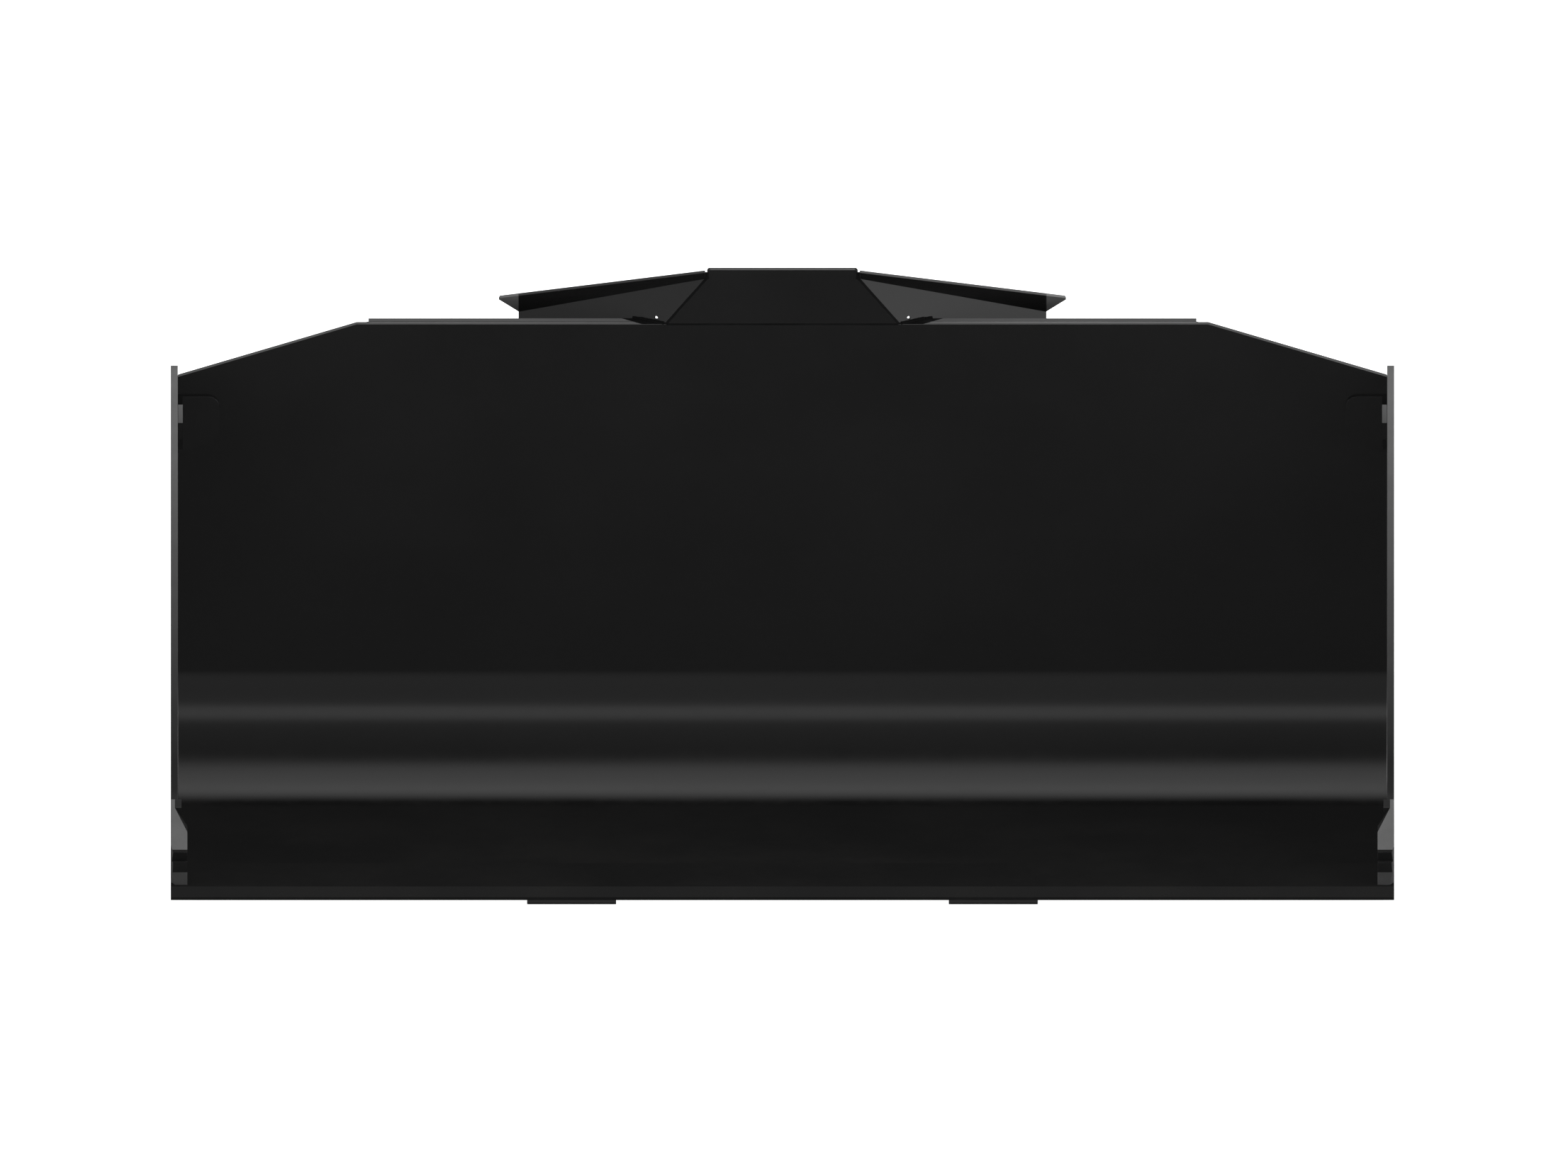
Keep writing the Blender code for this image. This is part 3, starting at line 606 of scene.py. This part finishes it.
def turned_steel(name, seed, grease, rust):
    """Bright turned steel with tool marks round it, a film of old grease and a bloom of rust."""
    material = bpy.data.materials.new(name)
    material.use_nodes = True
    graph = Graph(material.node_tree)
    steel = material.node_tree.nodes["Principled BSDF"]
    place = graph.node("TexCoord", out=3)
    at = graph.node("VectorMath", {"operation": "ADD"}, {0: place, 1: (seed * 1.3, seed * 2.1, seed * 0.7)})
    tool = graph.noise(graph.stretched(at, (1, 0.03, 0.03)), 900.0, 3.0, 0.6)
    patches = graph.noise(at, 22.0, 4.0, 0.6)
    spots = graph.noise(at, 120.0, 3.0, 0.6)
    film = graph.band(patches, 0.46, 0.66) * grease
    bloom = graph.band(spots + 0.4 * patches, 0.80, 1.0) * rust
    tint = graph.mix(graph.band(tool, 0.35, 0.65), STEEL_BRIGHT, STEEL_DULL)
    tint = graph.mix(film, tint, GREASE)
    tint = graph.mix(bloom, tint, RUST)
    graph.plug(steel.inputs["Base Color"], tint)
    graph.plug(steel.inputs["Metallic"], (1 - 0.75 * film) * (1 - bloom))
    graph.plug(steel.inputs["Roughness"], 0.24 + 0.16 * tool + 0.14 * film + 0.4 * bloom)
    relief = 0.000012 * tool + 0.00006 * film + 0.00004 * bloom * spots
    graph.plug(steel.inputs["Normal"], graph.node("Bump", None, {"Height": relief, "Distance": 1.0}))
    return material


def turned_piece(name, profile, axis_at, finish):
    """Turned round a line along X through axis_at, from closed (x, radius) points."""
    ways = [(cos(2 * pi * i / TURN_STEPS), sin(2 * pi * i / TURN_STEPS)) for i in range(TURN_STEPS)]
    points = [(x, axis_at.y + r * c, axis_at.z + r * s) for x, r in profile for c, s in ways]
    faces = []
    for ring in range(len(profile)):
        here, there = ring * TURN_STEPS, (ring + 1) % len(profile) * TURN_STEPS
        for i in range(TURN_STEPS):
            j = (i + 1) % TURN_STEPS
            faces.append((here + i, here + j, there + j, there + i))
    return new_piece(name, points, faces, finish)


PIN_CHAMFER = 0.003
PIN_CENTRE_DRILL = 0.004
BORE_RADIUS = 0.0225
BUSH_CHAMFER = 0.0015
pin_steel = turned_steel("hook_pin_steel", 1, 0.8, 0.5)
bush_steel = turned_steel("lock_bush_steel", 2, 0.7, 0.6)
for word in ("left", "right"):
    low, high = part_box(f"hook_pin_{word}")
    radius = (high.z - low.z) / 2
    profile = [
        (low.x, PIN_CENTRE_DRILL),
        (low.x, radius - PIN_CHAMFER),
        (low.x + PIN_CHAMFER, radius),
        (high.x - PIN_CHAMFER, radius),
        (high.x, radius - PIN_CHAMFER),
        (high.x, PIN_CENTRE_DRILL),
    ]
    pin = turned_piece(f"turned_hook_pin_{word}", profile, (low + high) / 2, pin_steel)
    rounded(pin, 0.0005)
    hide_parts(f"hook_pin_{word}")
    for place in ("inner", "outer"):
        low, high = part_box(f"lock_bush_{word}_{place}")
        radius = (high.z - low.z) / 2
        profile = [
            (low.x, BORE_RADIUS + BUSH_CHAMFER),
            (low.x, radius - BUSH_CHAMFER),
            (low.x + BUSH_CHAMFER, radius),
            (high.x - BUSH_CHAMFER, radius),
            (high.x, radius - BUSH_CHAMFER),
            (high.x, BORE_RADIUS + BUSH_CHAMFER),
            (high.x - BUSH_CHAMFER, BORE_RADIUS),
            (low.x + BUSH_CHAMFER, BORE_RADIUS),
        ]
        bush = turned_piece(f"bored_bush_{word}_{place}", profile, (low + high) / 2, bush_steel)
        rounded(bush, 0.0004)
        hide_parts(f"lock_bush_{word}_{place}")

# Welds of the side plates: fillet beads laid by hand along the outside seams, one pass, and painted
# over with the rest, with a finer bead inside along the floor. Each bead is a row of small overlapping
# ripples, a little uneven in size.
BEAD_STEP = 0.0028
BEAD_RIPPLE = 0.0075
BEAD_ARC = 5
BEAD_SWELL = 0.36
SIDE_LEG = SIDE_LAP * 0.85
SIDE_SINK = 0.0006
FLOOR_LEG = 0.0022
weld_paint = black_paint("painted_weld", 13, gloss=0.30, dust=0.35, rub=0.25, cast=0.3, ripple=0.00005)


class Beads:
    """The beads of one group of seams, gathered into one piece."""

    def __init__(self, name, finish=weld_paint):
        self.name = name
        self.finish = finish
        self.points = []
        self.faces = []

    def lay(self, path, first, second, leg):
        """A bead along path. first and second give the two plates' directions away from the corner,
        at the point of that number."""
        sizes = []
        travelled = 0.0
        for i, point in enumerate(path):
            travelled += (point - path[i - 1]).length if i else 0.0
            uneven = noise.noise(Vector((travelled * 45, leg * 900, point.x * 3)))
            sizes.append(leg * (1 + 0.07 * sin(2 * pi * travelled / BEAD_RIPPLE) + 0.10 * uneven))
        start = len(self.points)
        count = BEAD_ARC + 2
        for i, (point, size) in enumerate(zip(path, sizes)):
            a, b = first(i), second(i)
            self.points.append(point)
            for k in range(BEAD_ARC + 1):
                share = k / BEAD_ARC
                swell = 1 + BEAD_SWELL * sin(pi * share)
                self.points.append(point + (a * (1 - share) + b * share) * size * swell)
        for i in range(len(path) - 1):
            here = start + i * count
            for k in range(count):
                j = (k + 1) % count
                self.faces.append((here + k, here + j, here + count + j, here + count + k))
        self.faces.append(tuple(start + k for k in range(count)))
        self.faces.append(tuple(start + (len(path) - 1) * count + k for k in range(count)))

    def straight(self, start, stop, first, second, leg):
        start, stop = Vector(start), Vector(stop)
        steps = max(2, round((stop - start).length / BEAD_STEP))
        path = [start.lerp(stop, i / steps) for i in range(steps + 1)]
        a, b = Vector(first), Vector(second)
        self.lay(path, lambda i: a, lambda i: b, leg)

    def along_shell(self, x, away, from_turn, to_rise, out, leg):
        """Up the outside of the heel and the back, in the corner with a plate that faces away."""
        steps = max(2, round((HEEL_TURN - from_turn) * (HEEL_RADIUS + out) / BEAD_STEP))
        turns = [from_turn + (HEEL_TURN - from_turn) * i / steps for i in range(steps + 1)]
        path = [Vector((x, *heel(t, out))) for t in turns]
        outward = [Vector((0, sin(t), -cos(t))) for t in turns]
        up = max(2, round(to_rise / BEAD_STEP))
        path += [Vector((x, *back(to_rise * i / up, out))) for i in range(1, up + 1)]
        outward += [back_out] * up
        a = Vector((away, 0, 0))
        self.lay(path, lambda i: a, lambda i: outward[i], leg)

    def ring(self, x, away, axis_at, radius, leg):
        """Round a bar or bush that stands out of a plate, which faces away, at x."""
        steps = max(24, round(2 * pi * radius / BEAD_STEP))
        ways = [Vector((0, cos(2 * pi * i / steps), sin(2 * pi * i / steps))) for i in range(steps + 1)]
        path = [Vector((x, axis_at.y, axis_at.z)) + w * radius for w in ways]
        a = Vector((away, 0, 0))
        self.lay(path, lambda i: a, lambda i: ways[i], leg)

    def made(self):
        return new_piece(self.name, self.points, self.faces, self.finish)


side_beads = Beads("weld_side_seams")
for away, x in ((1, shell_low.x - SIDE_SINK), (-1, shell_high.x + SIDE_SINK)):
    side_beads.along_shell(x, away, 0.0, BACK_CORNER - 0.004, SHELL_T, SIDE_LEG)
    start, stop = (x, shell_low.y + 0.004, shell_low.z), (x, HEEL_START, shell_low.z)
    side_beads.straight(start, stop, (away, 0, 0), (0, 0, -1), SIDE_LEG)
    start, stop = (x, shell_low.y + 0.012, FLOOR_TOP), (x, HEEL_START - 0.01, FLOOR_TOP)
    side_beads.straight(start, stop, (away, 0, 0), (0, 0, 1), FLOOR_LEG)
side_beads.made()

# Welds of the hangers: the heaviest beads on the bucket, down both faces of each plate, because the
# whole load hangs from them. They stop short at the lip bar and start again on top of it.
HANGER_FOOT_TURN = radians(63)
HANGER_TOP = BACK_LENGTH - 0.058
HANGER_LEG = 0.0065
HANGER_BAR_LEG = 0.0055
hanger_beads = Beads("weld_hangers")
for node in hangers:
    low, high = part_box(node)
    for x, away in ((low.x, -1), (high.x, 1)):
        hanger_beads.along_shell(x, away, HANGER_FOOT_TURN, bar_foot - 0.003, SHELL_T, HANGER_LEG)
        start = Vector((x, *back(bar_foot + 0.004, bar_rear)))
        stop = Vector((x, *back(HANGER_TOP, bar_rear)))
        hanger_beads.straight(start, stop, (away, 0, 0), back_out, HANGER_BAR_LEG)
hanger_beads.made()

# Welds of the rear stiffeners: beads along both sides of the ribs, above and below the channel, and
# along the lip bar's foot and ends.
RIB_LEG = 0.0045
CHANNEL_RISES = (0.230, 0.330)
CHANNEL_LEG = 0.0050
BAR_LEG = 0.0070
BAR_END_LEG = 0.0060
rear_beads = Beads("weld_rear_stiffeners")
for word in ("left", "right"):
    low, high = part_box(f"rear_rib_{word}")
    for x, away in ((low.x, -1), (high.x, 1)):
        rear_beads.along_shell(x, away, RIB_HEEL_TURN + 0.03, BACK_CORNER - 0.008, SHELL_T, RIB_LEG)
low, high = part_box("rear_channel")
for rise, way in zip(CHANNEL_RISES, (-1, 1)):
    start, stop = [Vector((x, *back(rise, SHELL_T))) for x in (low.x + 0.004, high.x - 0.004)]
    rear_beads.straight(start, stop, back_up * way, back_out, CHANNEL_LEG)
low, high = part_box("lip_bar")
start, stop = [Vector((x, *back(bar_foot, SHELL_T))) for x in (low.x + 0.003, high.x - 0.003)]
rear_beads.straight(start, stop, -back_up, back_out, BAR_LEG)
for x, way in ((low.x, -1), (high.x, 1)):
    start, stop = [Vector((x, *back(rise, SHELL_T))) for rise in (bar_foot + 0.002, BACK_LENGTH - 0.003)]
    rear_beads.straight(start, stop, (way, 0, 0), back_out, BAR_END_LEG)
rear_beads.made()

# Welds of the spill guard: the wings are welded on last, and their beads take a dark matt paint that
# mirrors almost nothing, painted shade for the shadow in the seams. On each side a bead fills the groove
# at the wing's root, goes on up the neck, and another runs along the wing's foot over the lip bar, with
# a thin dark patch on the bar beside it, painted shade. A fine bead seats the centre plate.
WING_SWEEP = radians(20.7)
WING_FOLD = 0.088
NECK_HALF = 0.1270
ROOT_LEG = 0.0028
ROOT_LAP = 0.0012
NECK_LEG = 0.0050
NECK_WELD = 0.0135
NECK_FLARE = 0.0012
ROOT_CROWN = 0.2
FOOT_START = 0.004
FOOT_THINS = 0.85
FOOT_PAST = 0.006
FOOT_LEG = 0.0044
FOOT_END_LEG = 0.0034
SEAT_LEG = 0.0016
SEAT_TILT = 0.15
SHADE_ROOT = -0.004
SHADE_FRONT = 0.042
SHADE_REAR = 0.076
SHADE_INSET = 0.0004
SHADE_SKIN = (-0.0005, 0.0001)
# A dark matt paint that mirrors almost nothing, used as painted shade in the spill guard's seams and on the
# patches over the lip bar.
matt_shade_paint = black_paint(
    "matt_shade_root_weld", 15, gloss=0.55, dust=0.0, rub=0.1, cast=0.3, ripple=0.00005, ior=1.08
)
spill_beads = Beads("weld_spill_guard", matt_shade_paint)
lip = Vector((0, *back(BACK_LENGTH, 0)))
for word, side in (("left", -1), ("right", 1)):
    foot = lip + Vector((side * spill_high.x, 0, 0))
    fold = lip + Vector((side * NECK_HALF, 0, 0)) + back_up * WING_FOLD
    outward = Vector((side * cos(WING_SWEEP), sin(WING_SWEEP), 0))
    ahead = Vector((side * sin(WING_SWEEP), -cos(WING_SWEEP), 0))
    inner, outer = ahead * ROOT_CROWN - outward, ahead * ROOT_CROWN + outward
    bar_edge = foot + outward * bar_rear * sin(HEEL_TURN) / sin(WING_SWEEP)
    bar_edge += Vector((0, 0, bar_rear * -cos(HEEL_TURN)))
    thins = foot.lerp(bar_edge, FOOT_THINS)
    spill_beads.straight(foot + outward * FOOT_START, thins, (0, 0, 1), ahead, FOOT_LEG)
    spill_beads.straight(thins, bar_edge + outward * FOOT_PAST, (0, 0, 1), ahead, FOOT_END_LEG)
    groove = outward * (ROOT_LEG - ROOT_LAP)
    spill_beads.straight(foot + groove, fold + groove, inner, outer, ROOT_LEG)
    neck = fold + outward * ROOT_LAP
    neck_top = neck + outward * NECK_FLARE + back_up * NECK_WELD
    spill_beads.straight(neck, neck_top, inner, outer, NECK_LEG)
    # A thin dark sheet over the lip bar's top beside the wing's foot: painted shade where the wing darkens
    # the bar.
    near, far = SHADE_INSET, bar_rear - SHADE_INSET
    patch = [(SHADE_ROOT, near), (SHADE_FRONT, near), (SHADE_REAR, far), (SHADE_ROOT, far)]
    points = []
    for skin in SHADE_SKIN:
        points += [(foot.x + side * across, *back(BACK_LENGTH + skin, depth)) for across, depth in patch]
    faces = [(i, (i + 1) % 4, 4 + (i + 1) % 4, 4 + i) for i in range(4)]
    faces += [(0, 1, 2, 3), (7, 6, 5, 4)]
    new_piece(f"painted_shade_lip_{word}", points, faces, matt_shade_paint)
start, stop = [lip + Vector((x, 0, 0)) for x in (spill_low.x, spill_high.x)]
tilt = back_out * SEAT_TILT
spill_beads.straight(start, stop, back_up - tilt, -back_up - tilt, SEAT_LEG)
spill_beads.made()

# Welds of the wear bars and heel strips: one bead along each side, and one across each strip's tip.
# They are cut away and laid again whenever worn bars are changed.
GROUND_LEG = 0.0060
HEEL_BEAD_INSET = 0.02
HEEL_BEAD_STEPS = 48
ground_beads = Beads("weld_wear_bars")
turn_range = HEEL_WEAR_TURN - 2 * HEEL_BEAD_INSET
turns = [HEEL_BEAD_INSET + turn_range * i / HEEL_BEAD_STEPS for i in range(HEEL_BEAD_STEPS + 1)]
outward = [Vector((0, sin(t), -cos(t))) for t in turns]
tip = HEEL_WEAR_TURN
for word in ("left", "right"):
    low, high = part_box(f"wear_bar_{word}")
    for x, away in ((low.x, -1), (high.x, 1)):
        start, stop = (x, low.y + 0.02, shell_low.z), (x, high.y - 0.004, shell_low.z)
        ground_beads.straight(start, stop, (away, 0, 0), (0, 0, -1), GROUND_LEG)
        path = [Vector((x, *heel(t, SHELL_T))) for t in turns]
        sideways = Vector((away, 0, 0))
        ground_beads.lay(path, lambda i: sideways, lambda i: outward[i], GROUND_LEG)
    start, stop = [Vector((x, *heel(tip, SHELL_T))) for x in (low.x + 0.003, high.x - 0.003)]
    ground_beads.straight(start, stop, (0, cos(tip), sin(tip)), (0, sin(tip), -cos(tip)), GROUND_LEG)
ground_beads.made()

# Weld of the cutting edge: one bead inside, in the step between the edge bar and the thinner floor,
# laid over the whole width.
EDGE_LEG = 0.0060
edge_beads = Beads("weld_cutting_edge")
start, stop = [(x, shell_low.y, FLOOR_TOP) for x in (shell_low.x + 0.002, shell_high.x - 0.002)]
edge_beads.straight(start, stop, (0, 1, 0), (0, 0, 1), EDGE_LEG)
edge_beads.made()

# Welds of the hook pins and lock bushes: a ring on the outside of each hanger round the pin, and a
# smaller one on both faces round each bush.
BUSH_LEG = 0.0036
PIN_LEG = 0.0055
coupler_beads = Beads("weld_pins_and_bushes")
for word in ("left", "right"):
    pin_low, pin_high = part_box(f"hook_pin_{word}")
    for place in ("inner", "outer"):
        plate_low, plate_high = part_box(f"hanger_{word}_{place}")
        bush_low, bush_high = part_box(f"lock_bush_{word}_{place}")
        for x, away in ((plate_low.x, -1), (plate_high.x, 1)):
            bush_at = (bush_low + bush_high) / 2
            coupler_beads.ring(x, away, bush_at, (bush_high.z - bush_low.z) / 2, BUSH_LEG)
            pin_at = (pin_low + pin_high) / 2
            if (x - pin_at.x) * away > 0:
                coupler_beads.ring(x, away, pin_at, (pin_high.z - pin_low.z) / 2, PIN_LEG)
coupler_beads.made()

# Studio: a plain pale floor that runs out of sight, soft light from a wide curved screen that is
# brightest overhead and behind, and a long-lens camera square to the front, a little above it. The
# paint mirrors the screen only, so that its bands run clean round the heel.
FLOOR_SIZE = 60.0
CAMERA_LIFT = radians(13)
CAMERA_AWAY = 6.0
CAMERA_WIDTH = 2.640
AIM_RIGHT = 0.0026
AIM_UP = 0.4458
SCREEN_RIGHT = 2.4
SCREEN_LEFT = 0.4
SCREEN_FAR_LEFT = 3.0

floor_mesh = bpy.data.meshes.new("studio_floor")
half = FLOOR_SIZE / 2
corners = [(-half, -half, 0), (half, -half, 0), (half, half, 0), (-half, half, 0)]
floor_mesh.from_pydata(corners, [], [(0, 1, 2, 3)])
floor = bpy.data.objects.new("studio_floor", floor_mesh)
bpy.context.scene.collection.objects.link(floor)
floor.location.z = cad_low.z - 0.0002
floor.visible_glossy = False
floor_finish = bpy.data.materials.new("pale_floor")
floor_finish.use_nodes = True
pale = floor_finish.node_tree.nodes["Principled BSDF"]
pale.inputs["Base Color"].default_value = (0.85, 0.85, 0.85, 1)
pale.inputs["Roughness"].default_value = 0.9
pale.inputs["Emission Color"].default_value = (1, 1, 1, 1)
pale.inputs["Emission Strength"].default_value = 0.96
floor_mesh.materials.append(floor_finish)
floor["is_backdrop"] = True

world = bpy.data.worlds.new("studio_screen")
world.use_nodes = True
bpy.context.scene.world = world
screen = Graph(world.node_tree)
toward = screen.node("TexCoord", out=0)
across = screen.node("SeparateXYZ", None, {0: toward}, out=0)
depth = screen.node("SeparateXYZ", None, {0: toward}, out=1)
height = screen.node("SeparateXYZ", None, {0: toward}, out=2)
turn = screen.node("Math", {"operation": "ARCTAN2"}, {0: height, 1: 0 - depth})
SCREEN_STOPS = [
    (-180, 0.06),
    (-160, 0.02),
    (-95, 0.02),
    (-49, 0.03),
    (-40, 0.40),
    (-20, 0.36),
    (-3, 0.36),
    (3, 1.00),
    (12, 1.00),
    (20, 0.30),
    (60, 0.20),
    (68, 0.28),
    (80, 0.90),
    (88, 1.00),
    (116, 1.05),
    (126, 0.62),
    (136, 0.20),
    (144, 0.02),
    (175, 0.02),
    (180, 0.06),
]
stops = [((angle + 180) / 360, light) for angle, light in SCREEN_STOPS]
glow = screen.node("ValToRGB", {"stops": stops}, {"Fac": turn / (2 * pi) + 0.5})
right_side = screen.band(across, 0.30, 0.62) * SCREEN_RIGHT
left_side = screen.band(0 - across, 0.40, 0.65) * SCREEN_LEFT
left_side = left_side + screen.band(0 - across, 0.80, 0.95) * SCREEN_FAR_LEFT
background = world.node_tree.nodes["Background"]
screen.plug(background.inputs["Color"], glow)
screen.plug(background.inputs["Strength"], 1 + right_side + left_side)
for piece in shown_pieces():
    piece.visible_glossy = False

camera_data = bpy.data.cameras.new("studio_camera")
camera_data.type = "ORTHO"
camera_data.ortho_scale = CAMERA_WIDTH
camera_data.clip_end = 100.0
camera = bpy.data.objects.new("studio_camera", camera_data)
bpy.context.scene.collection.objects.link(camera)
aim = Vector((AIM_RIGHT, 0, AIM_UP))
camera.location = aim + CAMERA_AWAY * Vector((0, -cos(CAMERA_LIFT), sin(CAMERA_LIFT)))
camera.rotation_euler = (pi / 2 - CAMERA_LIFT, 0, 0)
bpy.context.scene.camera = camera
bpy.context.scene.view_settings.view_transform = "Standard"
